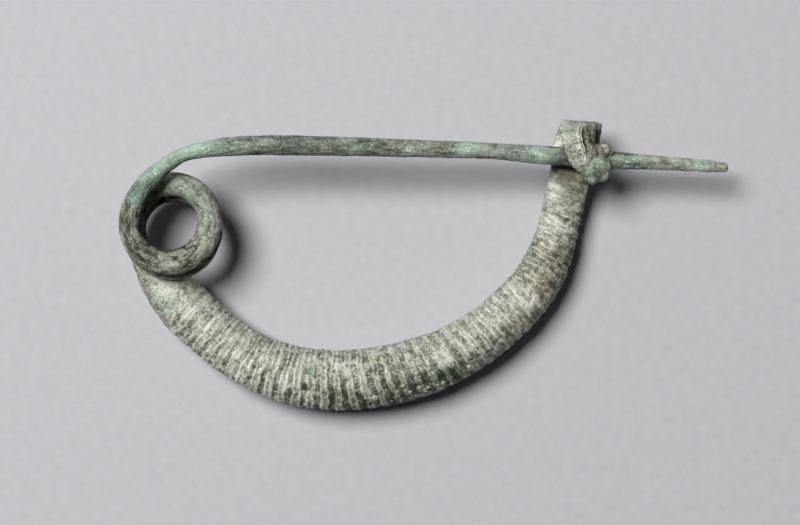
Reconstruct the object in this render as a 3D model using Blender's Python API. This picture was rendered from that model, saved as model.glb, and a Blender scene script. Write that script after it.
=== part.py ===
"""A bow brooch (fibula) of bronze, made in one piece from a single rod.

The rod is followed from end to end: the straight pin, the bend, the coiled spring, the thick
ribbed bow, the flat foot, and the foot's edge folded over the pin as its catch. A lump of
corrosion joins the pin and the catch. The brooch lies on its side on the plane Z = 0, with the
pin along X. Sizes are in millimetres, and the finished mesh is written in metres.
"""

import bmesh
import bpy
import numpy as np

MM = 0.001
SIDES = 16  # faces round the rod

# Distance between the rod's sections.
PIN_SPACING = 3.6
BEND_LENGTH = 21.0
BEND_SPACING = 2.1
COIL_SPACING = 1.6
NECK_SPACING = 1.5
PLATE_SPACING = 1.45

# Pin: centre and thickness, from the blunt tip to the bend. It is hammered a little uneven.
PIN = [
    # x, y, z, width, height
    (49.1, 16.2, 8.75, 1.6, 1.5),
    (46.3, 16.4, 9.0, 2.0, 1.9),
    (41.8, 16.7, 9.3, 2.15, 2.05),
    (36.8, 16.95, 9.6, 2.4, 2.25),
    (31.3, 17.3, 10.0, 2.85, 2.6),
    (25.0, 17.75, 10.45, 3.1, 2.8),
    (18.6, 18.15, 10.9, 3.05, 2.8),
    (12.0, 18.65, 11.4, 2.65, 2.6),
    (2.2, 19.0, 12.1, 2.75, 2.75),
    (-7.5, 19.25, 12.7, 3.0, 2.9),
    (-22.0, 19.55, 13.1, 3.25, 3.0),
    (-31.9, 19.35, 13.4, 3.15, 3.1),
    (-36.3, 18.6, 13.6, 2.75, 2.9),
    (-39.5, 17.4, 13.65, 2.75, 2.9),
    (-42.4, 15.8, 13.65, 2.9, 3.0),
    (-45.2, 13.5, 13.55, 3.2, 3.1),
    (-47.4, 10.5, 13.3, 3.3, 3.2),
]
TIP_LENGTH = 0.75  # the worn round end beyond the first pin station
NOSE_ANGLES = (28.0, 52.0, 72.0)

# Spring: a coil wound downwards from the left of its top turn, seen from above.
COIL_CENTRE = (-41.87, 7.05)
COIL_RADIUS = 6.47
COIL_TOP = 13.0
COIL_PITCH = 3.72
COIL_START = 180.0  # degrees anticlockwise from +X
COIL_END = 928.0
COIL_TILT = 0.75  # the side nearest the bow sits this much higher
COIL_SLIP = 1.1  # the lower turns are pushed this far towards the bow
COIL_SLIP_FROM, COIL_SLIP_TO = 0.6, 1.4  # turns
COIL_KNOTS_A_TURN = 12
COIL_WIRE_TURNS = (0.0, 0.25, 0.5, 1.5)
COIL_WIRE_WIDTHS = (3.3, 4.05, 4.05, 3.65)  # at those turns
COIL_WIRE_HEIGHT = 3.3

# Neck: the rod swells under the spring into the shoulder of the bow.
NECK = [
    (-46.35, -0.1, 5.1, 4.3, 3.7),
    (-44.75, -2.3, 4.75, 6.3, 5.6),
    (-42.6, -4.3, 4.55, 8.3, 8.0),
]

# Bow: an arch that is thickest in its middle and thins towards the foot.
BOW = [
    (-39.6, -7.4, 4.5, 9.15, 9.3),
    (-35.6, -11.1, 4.5, 9.0, 9.4),
    (-31.5, -14.2, 4.65, 9.1, 9.7),
    (-26.3, -16.9, 4.8, 9.55, 10.2),
    (-20.2, -18.65, 4.85, 10.0, 10.6),
    (-14.2, -19.1, 4.9, 10.1, 10.7),
    (-8.4, -18.6, 4.9, 10.15, 10.7),
    (-2.6, -17.35, 4.85, 10.0, 10.5),
    (5.6, -14.05, 4.75, 9.3, 9.9),
    (13.8, -8.05, 4.55, 8.7, 9.4),
    (18.8, -2.2, 4.2, 8.0, 8.8),
    (21.6, 4.2, 3.85, 7.2, 8.0),
    (22.6, 8.2, 3.95, 6.75, 6.6),
]

# Foot: the bow's end is hammered to a plate, whose upper edge is folded over the pin.
# Beyond the fold only the left part is left, a tongue that runs down over the pin.
PLATE = [
    (23.3, 11.4, 4.45, 6.7, 4.0),
    (23.9, 14.2, 5.25, 6.8, 2.3),
    (24.6, 17.2, 5.5, 7.3, 1.8),
    (25.1, 20.0, 5.55, 7.6, 1.7),
    (25.6, 22.2, 6.0, 7.0, 1.6),
]
FOLD = [
    (25.8, 23.15, 7.3, 6.7, 1.5),
    (25.2, 23.25, 8.9, 5.9, 1.45),
    (24.2, 22.95, 10.4, 4.6, 1.4),
    (24.0, 21.9, 12.0, 4.3, 1.4),
    (24.35, 20.2, 12.85, 4.3, 1.35),
    (24.9, 18.5, 13.05, 4.2, 1.3),
    (25.7, 16.9, 12.75, 4.0, 1.3),
    (26.6, 15.4, 11.9, 3.4, 1.3),
    (27.2, 14.2, 10.7, 2.4, 1.2),
]
PLATE_SQUARENESS = 5.0  # 2 is an ellipse, and more is nearer to a rectangle

# Ribs: grooves cut across the bow all round, shallow on the inside of the arch.
RIB_COUNT = 39
RIB_DEPTH = 0.34
RIB_START = (-41.0, -5.8)
RIB_END = (23.0, 10.0)
GROOVE_SHARE = 0.44  # of each rib's length
RIB_UNEVENNESS = 0.09  # of each rib's length
RIB_DRIFT = 2.4  # radians, sets which ribs are long and which are short
INNER_DEPTH = 0.35  # of the full depth
FADED_RIBS = 1.5  # ribs over which the depth fades in and out

# Corrosion: the lump that holds the pin in its catch.
LUMP_CENTRE = (27.9, 16.7, 11.1)
LUMP_HALF_SIZE = (2.55, 3.15, 2.25)
LUMP_ROUGHNESS = 0.16

REST_LEVEL = 0.0  # the brooch is worn flat where it lies on this plane


def clear_scene():
    for old in list(bpy.data.objects):
        bpy.data.objects.remove(old, do_unlink=True)


def new_collection(name):
    collection = bpy.data.collections.new(name)
    bpy.context.scene.collection.children.link(collection)
    return collection


def patinated_bronze():
    material = bpy.data.materials.new("patinated_bronze")
    material.use_nodes = True
    shader = material.node_tree.nodes["Principled BSDF"]
    shader.inputs["Base Color"].default_value = (0.34, 0.35, 0.28, 1.0)
    shader.inputs["Metallic"].default_value = 0.15
    shader.inputs["Roughness"].default_value = 0.75
    return material


def lengths_along(points):
    steps = np.linalg.norm(np.diff(points, axis=0), axis=1)
    return np.concatenate([[0.0], np.cumsum(steps)])


def smooth_curve(knots, values, places):
    """A natural cubic spline through the values at the knots, read at the places."""
    gap = np.diff(knots)
    slope = np.diff(values, axis=0) / gap[:, None]
    count = len(knots)
    system = np.eye(count)
    right = np.zeros_like(values)
    for i in range(1, count - 1):
        system[i, i - 1 : i + 2] = gap[i - 1], 2 * (gap[i - 1] + gap[i]), gap[i]
        right[i] = 6 * (slope[i] - slope[i - 1])
    bend = np.linalg.solve(system, right)
    i = np.clip(np.searchsorted(knots, places, side="right") - 1, 0, count - 2)
    h = gap[i][:, None]
    a = (knots[i + 1] - places)[:, None] / h
    b = 1.0 - a
    line = a * values[i] + b * values[i + 1]
    return line + ((a**3 - a) * bend[i] + (b**3 - b) * bend[i + 1]) * h**2 / 6


def smooth_step(share):
    share = np.clip(share, 0.0, 1.0)
    return share * share * (3.0 - 2.0 * share)


def eased(knots, values, places):
    """Values that ease from one knot to the next without passing either."""
    i = np.clip(np.searchsorted(knots, places, side="right") - 1, 0, len(knots) - 2)
    share = smooth_step((places - knots[i]) / (knots[i + 1] - knots[i]))[:, None]
    return values[i] * (1.0 - share) + values[i + 1] * share


def coil_rows():
    """The spring's own stations, in the same columns as the lists above."""
    turns = (COIL_END - COIL_START) / 360.0
    count = int(round(turns * COIL_KNOTS_A_TURN)) + 1
    rows = []
    for turn in np.linspace(0.0, turns, count):
        angle = np.radians(COIL_START + 360.0 * turn)
        slip = COIL_SLIP * smooth_step((turn - COIL_SLIP_FROM) / (COIL_SLIP_TO - COIL_SLIP_FROM))
        x = COIL_CENTRE[0] + COIL_RADIUS * np.cos(angle)
        y = COIL_CENTRE[1] - slip + COIL_RADIUS * np.sin(angle)
        z = COIL_TOP - COIL_PITCH * turn - COIL_TILT * np.sin(angle)
        width = np.interp(turn, COIL_WIRE_TURNS, COIL_WIRE_WIDTHS)
        rows.append((x, y, z, width, COIL_WIRE_HEIGHT))
    return rows


class Rod:
    """The whole rod: its centre line, thickness and squareness at each length from the pin's tip."""

    def __init__(self):
        rows = np.array(PIN + coil_rows() + NECK + BOW + PLATE + FOLD)
        round_rows = len(rows) - len(PLATE) - len(FOLD)
        self.knots = lengths_along(rows[:, :3])
        self.centres = rows[:, :3]
        self.sizes = rows[:, 3:]
        self.foot = self.knots[round_rows - 1]
        self.flat = self.knots[round_rows + 2]
        self.length = self.knots[-1]
        self.coil = self.knots[len(PIN)]
        self.neck = self.knots[round_rows - len(BOW) - len(NECK)]

    def place_of(self, point):
        """The length at which the rod's centre line passes nearest to a point of the bow."""
        places = np.linspace(self.neck, self.flat, 2000)
        off = self.centre(places)[:, :2] - np.array(point)
        return places[np.argmin(np.linalg.norm(off, axis=1))]

    def centre(self, places):
        return smooth_curve(self.knots, self.centres, places)

    def size(self, places):
        return eased(self.knots, self.sizes, places)

    def squareness(self, places):
        share = smooth_step((places - self.foot) / (self.flat - self.foot))
        return 2.0 + (PLATE_SQUARENESS - 2.0) * share

    def axes(self, places):
        """Unit vectors out of the arch and up through the rod, both square to its centre line."""
        step = 0.01
        run = self.centre(places + step) - self.centre(places - step)
        run /= np.linalg.norm(run, axis=1)[:, None]
        level = np.stack([run[:, 1], -run[:, 0], np.zeros(len(run))], axis=1)
        across = np.tile([1.0, 0.0, 0.0], (len(run), 1))
        out = np.where((places > self.flat)[:, None], across, level)
        out -= (out * run).sum(axis=1)[:, None] * run
        out /= np.linalg.norm(out, axis=1)[:, None]
        return out, np.cross(out, run)


def rib_places(rod):
    """Lengths of the groove floors and of the two edges of each crest, with the share of depth."""
    start, end = rod.place_of(RIB_START), rod.place_of(RIB_END)
    marks = np.arange(RIB_COUNT + 1, dtype=float)
    marks[1:-1] += RIB_UNEVENNESS * np.sin(RIB_DRIFT * marks[1:-1] ** 1.3)
    floors = start + (end - start) * marks / RIB_COUNT
    places, depths = [], []
    for number, (a, b) in enumerate(zip(floors[:-1], floors[1:])):
        side = 0.5 * GROOVE_SHARE * (b - a)
        fade = min(1.0, (number + 0.5) / FADED_RIBS, (RIB_COUNT - number - 0.5) / FADED_RIBS)
        places += [a, a + side, b - side]
        depths += [fade * RIB_DEPTH, 0.0, 0.0]
    return np.array(places), np.array(depths)


def evenly(start, end, spacing):
    """Places from start up to, but not at, end."""
    return np.linspace(start, end, max(1, int(round((end - start) / spacing))), endpoint=False)


def section_places(rod):
    """Every length at which the rod gets a section, with the depth of a groove there."""
    ribs, depths = rib_places(rod)
    bend = rod.coil - BEND_LENGTH
    before = np.concatenate(
        [
            evenly(0.0, bend, PIN_SPACING),
            evenly(bend, rod.coil, BEND_SPACING),
            evenly(rod.coil, rod.neck, COIL_SPACING),
            evenly(rod.neck, ribs[0], NECK_SPACING),
        ]
    )
    after = np.concatenate(
        [
            evenly(ribs[-1] + PLATE_SPACING, rod.length, PLATE_SPACING),
            [rod.length],
        ]
    )
    places = np.concatenate([before, ribs, after])
    depths = np.concatenate([np.zeros(len(before)), depths, np.zeros(len(after))])
    return places, depths


def section_points(rod, places, depths):
    """Rings of points round the rod, one ring for each place."""
    turn = 2.0 * np.pi * np.arange(SIDES) / SIDES
    cos, sin = np.cos(turn), np.sin(turn)
    power = (2.0 / rod.squareness(places))[:, None]
    across = np.sign(cos) * np.abs(cos) ** power
    above = np.sign(sin) * np.abs(sin) ** power
    inside = INNER_DEPTH + (1.0 - INNER_DEPTH) * np.clip(1.25 + cos, 0.0, 1.0)
    cut = depths[:, None] * inside[None, :]
    half = 0.5 * rod.size(places)
    out, up = rod.axes(places)
    wide = across * (half[:, :1] - cut)
    high = above * (half[:, 1:] - cut)
    rings = rod.centre(places)[:, None, :]
    return rings + wide[..., None] * out[:, None, :] + high[..., None] * up[:, None, :]


def rounded_end(ring, towards, length):
    """Smaller rings that close an end with a worn, round nose."""
    middle = ring.mean(axis=0)
    rings = []
    for angle in np.radians(NOSE_ANGLES):
        moved = middle + towards * length * np.sin(angle)
        rings.append(moved + (ring - middle) * np.cos(angle))
    return rings


def rod_mesh(rod):
    places, depths = section_places(rod)
    rings = list(section_points(rod, places, depths))
    first, last = rings[0].mean(axis=0), rings[-1].mean(axis=0)
    start = first - rings[1].mean(axis=0)
    end = last - rings[-2].mean(axis=0)
    tip = rounded_end(rings[0], start / np.linalg.norm(start), TIP_LENGTH)
    tongue = rounded_end(rings[-1], end / np.linalg.norm(end), TIP_LENGTH)
    rings = tip[::-1] + rings + tongue
    mesh = bmesh.new()
    loops = []
    for ring in rings:
        ring[:, 2] = np.maximum(ring[:, 2], REST_LEVEL)
        loops.append([mesh.verts.new(MM * point) for point in ring])
    for near, far in zip(loops[:-1], loops[1:]):
        for i in range(SIDES):
            j = (i + 1) % SIDES
            mesh.faces.new((near[i], near[j], far[j], far[i]))
    mesh.faces.new(loops[0])
    mesh.faces.new(loops[-1])
    bmesh.ops.recalc_face_normals(mesh, faces=mesh.faces)
    return mesh


def lump_mesh():
    """A rounded lump with a few broad bumps."""
    mesh = bmesh.new()
    bmesh.ops.create_icosphere(mesh, subdivisions=3, radius=1.0)
    for vert in mesh.verts:
        x, y, z = vert.co
        bump = np.sin(3.1 * x + 1.7 * y) * np.sin(2.6 * y - 1.3 * z + 0.8)
        bump += 0.6 * np.sin(5.3 * z + 2.2 * x) * np.sin(4.7 * x - 3.9 * y)
        swell = 1.0 + LUMP_ROUGHNESS * bump
        for axis, (centre, half) in enumerate(zip(LUMP_CENTRE, LUMP_HALF_SIZE)):
            vert.co[axis] = MM * (centre + half * swell * vert.co[axis])
    return mesh


def new_object(name, mesh, collection, material):
    data = bpy.data.meshes.new(name)
    mesh.to_mesh(data)
    mesh.free()
    data.materials.append(material)
    made = bpy.data.objects.new(name, data)
    collection.objects.link(made)
    return made


def centre_on_plane(*objects):
    """Moves the meshes so that the first one stands centred over the world's origin."""
    corners = np.array([vert.co for vert in objects[0].data.vertices])
    low, high = corners.min(axis=0), corners.max(axis=0)
    shift = (-(low + high) / 2.0)[:2]
    for made in objects:
        for vert in made.data.vertices:
            vert.co.x += shift[0]
            vert.co.y += shift[1]


def main():
    clear_scene()
    parts = new_collection("bow_brooch")
    joined = new_collection("joined_shapes")
    bronze = patinated_bronze()
    brooch = new_object("fibula", rod_mesh(Rod()), parts, bronze)
    lump = new_object("corrosion_lump", lump_mesh(), joined, bronze)
    lump.hide_render = True
    lump.display_type = "WIRE"
    centre_on_plane(brooch, lump)
    union = brooch.modifiers.new("corroded_fast", "BOOLEAN")
    union.operation = "UNION"
    union.solver = "EXACT"
    union.object = lump


main()
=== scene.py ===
"""The bow brooch (fibula) dressed in its patina: ribs, wear, pits, flakes, verdigris and corrosion.

The bronze rod is swept by a Geometry Nodes tree along a path close to its solid's, and the same
tree cuts the ribs and wears the surface. The corrosion on the catch and the grains of crust are
two more trees. Sizes are in millimetres, and each tree turns its own into metres.
"""

import math
from types import SimpleNamespace

import bpy
import numpy as np
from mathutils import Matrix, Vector


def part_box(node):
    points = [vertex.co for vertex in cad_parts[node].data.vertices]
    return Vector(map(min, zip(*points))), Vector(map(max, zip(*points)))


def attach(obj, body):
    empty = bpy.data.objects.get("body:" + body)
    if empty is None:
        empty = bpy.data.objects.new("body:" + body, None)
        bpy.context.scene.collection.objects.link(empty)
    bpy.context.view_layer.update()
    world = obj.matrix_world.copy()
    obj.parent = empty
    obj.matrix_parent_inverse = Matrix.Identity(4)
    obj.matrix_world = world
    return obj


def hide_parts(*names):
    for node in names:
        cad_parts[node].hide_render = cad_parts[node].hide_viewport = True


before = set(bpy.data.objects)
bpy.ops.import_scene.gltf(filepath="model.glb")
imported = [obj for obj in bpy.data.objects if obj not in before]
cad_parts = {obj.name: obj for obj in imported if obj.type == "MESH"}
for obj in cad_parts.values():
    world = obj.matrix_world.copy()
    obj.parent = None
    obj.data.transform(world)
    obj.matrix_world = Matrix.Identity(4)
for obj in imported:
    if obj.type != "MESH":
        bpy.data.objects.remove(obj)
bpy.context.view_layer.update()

MM = 0.001
TAU = 2.0 * math.pi

# Stations along the middle of the rod, from the pin's tip: x, y, z, width, height. They are close
# to the solid's, with the bend's strand and the folded tongue a little slimmer.
PIN = [
    (49.1, 16.2, 8.75, 1.6, 1.5),
    (46.3, 16.4, 9.0, 2.0, 1.9),
    (41.8, 16.7, 9.3, 2.15, 2.05),
    (36.8, 16.95, 9.6, 2.4, 2.25),
    (31.3, 17.3, 10.0, 2.85, 2.6),
    (25.0, 17.75, 10.45, 3.1, 2.8),
    (18.6, 18.15, 10.9, 3.05, 2.8),
    (12.0, 18.65, 11.4, 2.65, 2.6),
    (2.2, 19.0, 12.1, 2.75, 2.75),
    (-7.5, 19.25, 12.7, 3.0, 2.9),
    (-22.0, 19.55, 13.1, 3.25, 3.0),
    (-31.9, 19.35, 13.4, 3.15, 3.1),
    (-36.3, 18.8, 13.6, 2.6, 2.8),
    (-39.5, 17.95, 13.65, 2.25, 2.6),
    (-42.4, 16.2, 13.65, 2.6, 2.8),
    (-45.25, 13.6, 13.55, 3.2, 3.1),
    (-47.4, 10.5, 13.3, 3.3, 3.2),
]
TIP_LENGTH = 0.71  # the round end beyond the first and the last station
NOSE_ANGLES = (12.0, 24.0, 36.0, 48.0, 60.0, 70.0, 79.0, 86.0)  # degrees, one for each of its rings

# The spring: a coil wound downwards from the left of its top turn, seen from above.
COIL_CENTRE = (-41.87, 7.05)
COIL_RADIUS = 6.47
COIL_TOP = 13.0
COIL_PITCH = 3.72
COIL_START = 180.0  # degrees anticlockwise from +X
COIL_END = 928.0
COIL_TILT = 0.75  # the side nearest the bow sits this much higher
COIL_SLIP = 1.1  # the lower turns are pushed this far towards the bow
COIL_SLIP_FROM, COIL_SLIP_TO = 0.6, 1.4  # turns
COIL_KNOTS_A_TURN = 12
COIL_WIRE_TURNS = (0.0, 0.25, 0.5, 1.5)
COIL_WIRE_WIDTHS = (3.3, 4.05, 4.05, 3.65)  # at those turns
COIL_WIRE_HEIGHT = 3.3

# The rod leaves the lowest turn and swells into the shoulder of the bow.
NECK = [
    (-46.35, -0.1, 5.1, 4.3, 3.7),
    (-44.75, -2.3, 4.75, 6.3, 5.6),
    (-42.6, -4.3, 4.55, 8.3, 8.0),
]

# The bow is thickest in its middle and thins towards the foot.
BOW = [
    (-39.6, -7.4, 4.5, 9.15, 9.3),
    (-35.6, -11.1, 4.5, 9.0, 9.4),
    (-31.5, -14.2, 4.65, 9.1, 9.7),
    (-26.3, -16.9, 4.8, 9.55, 10.2),
    (-20.2, -18.65, 4.85, 10.0, 10.6),
    (-14.2, -19.1, 4.9, 10.1, 10.7),
    (-8.4, -18.6, 4.9, 10.15, 10.7),
    (-2.6, -17.35, 4.85, 10.0, 10.5),
    (5.6, -14.05, 4.75, 9.3, 9.9),
    (13.8, -8.05, 4.55, 8.7, 9.4),
    (18.8, -2.2, 4.2, 8.0, 8.8),
    (21.6, 4.2, 3.85, 7.2, 8.0),
    (22.6, 8.2, 3.95, 6.75, 6.6),
]

# The foot is hammered to a plate, and its upper edge is folded over the pin as a tongue.
PLATE = [
    (23.3, 11.4, 4.45, 6.7, 4.0),
    (23.9, 14.2, 5.25, 6.8, 2.3),
    (24.6, 17.2, 5.5, 7.3, 1.8),
    (25.1, 20.0, 5.55, 7.6, 1.7),
    (25.6, 22.2, 6.0, 7.0, 1.6),
]
FOLD = [
    (25.8, 23.05, 7.3, 6.7, 1.5),
    (25.2, 23.1, 8.9, 5.9, 1.45),
    (24.2, 22.9, 10.6, 4.6, 1.4),
    (23.65, 22.15, 12.1, 3.7, 1.4),
    (23.75, 20.5, 12.95, 3.2, 1.35),
    (24.3, 18.5, 13.05, 3.2, 1.3),
    (25.1, 17.0, 12.75, 3.0, 1.3),
    (26.2, 15.6, 11.9, 1.9, 1.3),
    (27.0, 14.5, 10.8, 1.2, 1.1),
]
FLAT_ROW = 2  # the plate's row from which the rod is fully flat
TONGUE_ROW = 2  # the fold's row at which the tongue begins
ROUND_SQUARENESS = 2.0  # an ellipse
PLATE_SQUARENESS = 5.0  # nearer to a rectangle
FOLD_SLOPE = 0.09  # turns the folded sheet's width a little from +X towards -Y

# How far the stations move to stand centred over the origin.
CENTRING = (0.187, 0.055, 0.0)

# The ribs, cut across the bow.
RIB_COUNT = 39
RIB_START = (-41.0, -5.8)
RIB_END = (23.0, 10.0)
RIB_UNEVENNESS = 0.09  # of a rib's length
RIB_DRIFT = 2.4  # radians, sets which ribs are long and which are short
RIB_DRIFT_POWER = 1.3
FADED_RIBS = 0.9  # ribs over which the relief fades in and out
PLACES_TRIED = 2000  # along the bow, to find the ribs' two ends

# Distances between the rod's sections, fine where it is ribbed and a little past the ribs.
WIRE_SPACING = 0.48
BOW_SPACING = 0.174
FOOT_SPACING = 0.25
BOW_MARGIN = 1.0

# Where the looks of the wire end, where those of the foot and the tongue begin, and their fades.
WIRE_PAST_NECK, WIRE_FADE = 4.0, 6.0
FOOT_BEFORE_RIBS_END, FOOT_FADE = 1.0, 3.0
TONGUE_FADE = 2.0

# How the cut ribs change along the bow. Each column but the first is stored under its name.
RIB_COLUMNS = ("groove_share", "ribbed", "doubled", "belt", "slant", "dark_gaps", "scabby")
RIB_CHARACTER = [
    # rib, share that is groove, strength, doubling, dark belt, slant in ribs, dark gaps, scabs
    (0.0, 0.50, 0.50, 0.4, 0.0, 0.00, 0.3, 0.5),
    (3.0, 0.36, 0.75, 0.9, 0.0, 0.00, 0.45, 0.4),
    (8.0, 0.36, 0.85, 1.0, 0.0, 0.05, 0.80, 0.1),
    (13.0, 0.40, 0.95, 0.9, 0.1, 0.15, 1.15, 0.0),
    (16.0, 0.50, 1.00, 0.6, 0.4, 0.25, 1.2, 0.0),
    (19.0, 0.55, 1.00, 0.4, 1.0, 0.35, 1.0, 0.0),
    (23.0, 0.55, 0.95, 0.4, 1.0, 0.40, 0.7, 0.0),
    (26.0, 0.46, 0.85, 0.8, 0.3, 0.40, 0.3, 0.2),
    (29.0, 0.40, 0.70, 0.9, 0.0, 0.15, 0.1, 0.8),
    (32.0, 0.40, 0.55, 0.9, 0.0, -0.25, 0.1, 1.0),
    (36.0, 0.42, 0.70, 0.8, 0.0, -0.40, 0.3, 0.8),
    (39.0, 0.48, 1.00, 0.9, 0.0, -0.50, 0.5, 0.7),
]

# How the patina changes along the rod, from the pin's tip: the neck of the bow starts near 192.
PATINA_COLUMNS = ("verdigris", "paleness", "flaky", "shortness")
PATINA = [
    # length, green, pale, flaky, how short the flakes are
    (0.0, 0.40, 0.03, 0.5, 0.30),
    (10.0, 0.40, -0.01, 0.5, 0.30),
    (16.0, 0.50, -0.12, 0.5, 0.34),
    (27.0, 0.45, -0.15, 0.5, 0.34),
    (31.0, 0.50, 0.01, 0.4, 0.34),
    (36.0, 0.50, 0.01, 0.4, 0.34),
    (45.0, 0.45, -0.02, 0.4, 0.34),
    (60.0, 0.38, -0.12, 0.5, 0.28),
    (74.0, 0.38, -0.12, 0.4, 0.28),
    (80.0, 0.60, -0.04, 0.3, 0.30),
    (86.0, 1.00, 0.13, 0.1, 0.45),
    (93.0, 1.00, 0.08, 0.1, 0.45),
    (100.2, 0.95, 0.05, 0.3, 0.45),
    (101.0, 0.22, -0.04, 0.8, 0.45),
    (106.0, 0.26, -0.02, 0.9, 0.45),
    (110.0, 0.22, -0.10, 1.2, 0.50),
    (115.0, 0.22, -0.10, 1.2, 0.50),
    (119.0, 0.30, -0.07, 0.85, 0.60),
    (124.0, 0.34, -0.05, 0.45, 0.60),
    (131.0, 0.30, -0.06, 0.40, 0.60),
    (138.0, 0.20, -0.08, 1.0, 0.50),
    (185.0, 0.15, -0.12, 1.0, 0.40),
    (192.0, 0.0, -0.03, 0.5, 0.40),
    (210.0, 0.0, -0.01, 0.5, 0.40),
    (226.0, 0.0, -0.04, 0.5, 0.40),
    (240.0, 0.0, -0.04, 0.5, 0.40),
    (255.0, 0.0, -0.03, 0.4, 0.40),
    (262.0, 0.0, -0.03, 0.3, 0.40),
    (268.0, 0.0, -0.07, 0.2, 0.40),
    (274.0, 0.0, -0.12, 0.2, 0.40),
    (278.5, 0.0, 0.04, 0.2, 0.40),
    (283.0, 0.0, -0.06, 0.4, 0.40),
    (287.0, 0.0, -0.18, 0.4, 0.40),
    (292.0, 0.0, -0.18, 0.4, 0.40),
    (299.0, 0.12, -0.04, 0.5, 0.40),
    (312.0, 0.12, -0.04, 0.6, 0.40),
]


# --- Curves through the stations --------------------------------------------------------------


def lengths_along(points):
    steps = np.linalg.norm(np.diff(points, axis=0), axis=1)
    return np.concatenate([[0.0], np.cumsum(steps)])


def smooth_curve(knots, values, places):
    """A natural cubic spline through the values at the knots, read at the places."""
    gap = np.diff(knots)
    slope = np.diff(values, axis=0) / gap[:, None]
    count = len(knots)
    system = np.eye(count)
    right = np.zeros_like(values)
    for i in range(1, count - 1):
        system[i, i - 1 : i + 2] = gap[i - 1], 2 * (gap[i - 1] + gap[i]), gap[i]
        right[i] = 6 * (slope[i] - slope[i - 1])
    bend = np.linalg.solve(system, right)
    i = np.clip(np.searchsorted(knots, places, side="right") - 1, 0, count - 2)
    h = gap[i][:, None]
    a = (knots[i + 1] - places)[:, None] / h
    b = 1.0 - a
    line = a * values[i] + b * values[i + 1]
    return line + ((a**3 - a) * bend[i] + (b**3 - b) * bend[i + 1]) * h**2 / 6


def smooth_step(share):
    share = np.clip(share, 0.0, 1.0)
    return share * share * (3.0 - 2.0 * share)


def eased(knots, values, places):
    """Values that ease from one knot to the next without passing either."""
    i = np.clip(np.searchsorted(knots, places, side="right") - 1, 0, len(knots) - 2)
    share = smooth_step((places - knots[i]) / (knots[i + 1] - knots[i]))[:, None]
    return values[i] * (1.0 - share) + values[i + 1] * share


def coil_rows():
    """The spring's own stations, in the same columns as the lists above."""
    turns = (COIL_END - COIL_START) / 360.0
    count = int(round(turns * COIL_KNOTS_A_TURN)) + 1
    rows = []
    for turn in np.linspace(0.0, turns, count):
        angle = np.radians(COIL_START + 360.0 * turn)
        slip = COIL_SLIP * smooth_step((turn - COIL_SLIP_FROM) / (COIL_SLIP_TO - COIL_SLIP_FROM))
        x = COIL_CENTRE[0] + COIL_RADIUS * np.cos(angle)
        y = COIL_CENTRE[1] - slip + COIL_RADIUS * np.sin(angle)
        z = COIL_TOP - COIL_PITCH * turn - COIL_TILT * np.sin(angle)
        width = np.interp(turn, COIL_WIRE_TURNS, COIL_WIRE_WIDTHS)
        rows.append((x, y, z, width, COIL_WIRE_HEIGHT))
    return rows


class Rod:
    """The whole rod: its centre line, size and squareness at each length from the pin's tip."""

    def __init__(self):
        rows = np.array(PIN + coil_rows() + NECK + BOW + PLATE + FOLD)
        round_rows = len(rows) - len(PLATE) - len(FOLD)
        self.knots = lengths_along(rows[:, :3])
        self.centres = rows[:, :3]
        self.sizes = rows[:, 3:]
        self.neck = self.knots[round_rows - len(BOW) - len(NECK)]
        self.foot = self.knots[round_rows - 1]
        self.flat = self.knots[round_rows + FLAT_ROW]
        self.tongue = self.knots[len(rows) - len(FOLD) + TONGUE_ROW]
        self.length = self.knots[-1]
        start, end = self.place_of(RIB_START), self.place_of(RIB_END)
        marks = np.arange(RIB_COUNT + 1, dtype=float)
        marks[1:-1] += RIB_UNEVENNESS * np.sin(RIB_DRIFT * marks[1:-1] ** RIB_DRIFT_POWER)
        self.floors = start + (end - start) * marks / RIB_COUNT

    def place_of(self, point):
        """The length at which the rod's centre line passes nearest to a point of the bow."""
        places = np.linspace(self.neck, self.flat, PLACES_TRIED)
        off = self.centre(places)[:, :2] - np.array(point)
        return places[np.argmin(np.linalg.norm(off, axis=1))]

    def centre(self, places):
        return smooth_curve(self.knots, self.centres, places)

    def size(self, places):
        return eased(self.knots, self.sizes, places)

    def squareness(self, places):
        share = smooth_step((places - self.foot) / (self.flat - self.foot))
        return ROUND_SQUARENESS + (PLATE_SQUARENESS - ROUND_SQUARENESS) * share

    def rib_number(self, places):
        """Counts the ribs along the bow: whole at each groove's floor, and level beyond them."""
        return np.interp(places, self.floors, np.arange(RIB_COUNT + 1, dtype=float))

    def axes(self, places):
        """Unit vectors out of the arch and up through the rod, both square to its centre line."""
        step = 0.01
        run = self.centre(places + step) - self.centre(places - step)
        run /= np.linalg.norm(run, axis=1)[:, None]
        level = np.stack([run[:, 1], -run[:, 0], np.zeros(len(run))], axis=1)
        across = np.tile([1.0, -FOLD_SLOPE, 0.0], (len(run), 1))
        out = np.where((places > self.flat)[:, None], across, level)
        out -= (out * run).sum(axis=1)[:, None] * run
        out /= np.linalg.norm(out, axis=1)[:, None]
        return out, np.cross(out, run), run


# --- Node trees, written as sums --------------------------------------------------------------

NODE_GAP = (220.0, 180.0)
NODES_A_COLUMN = 8


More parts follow.
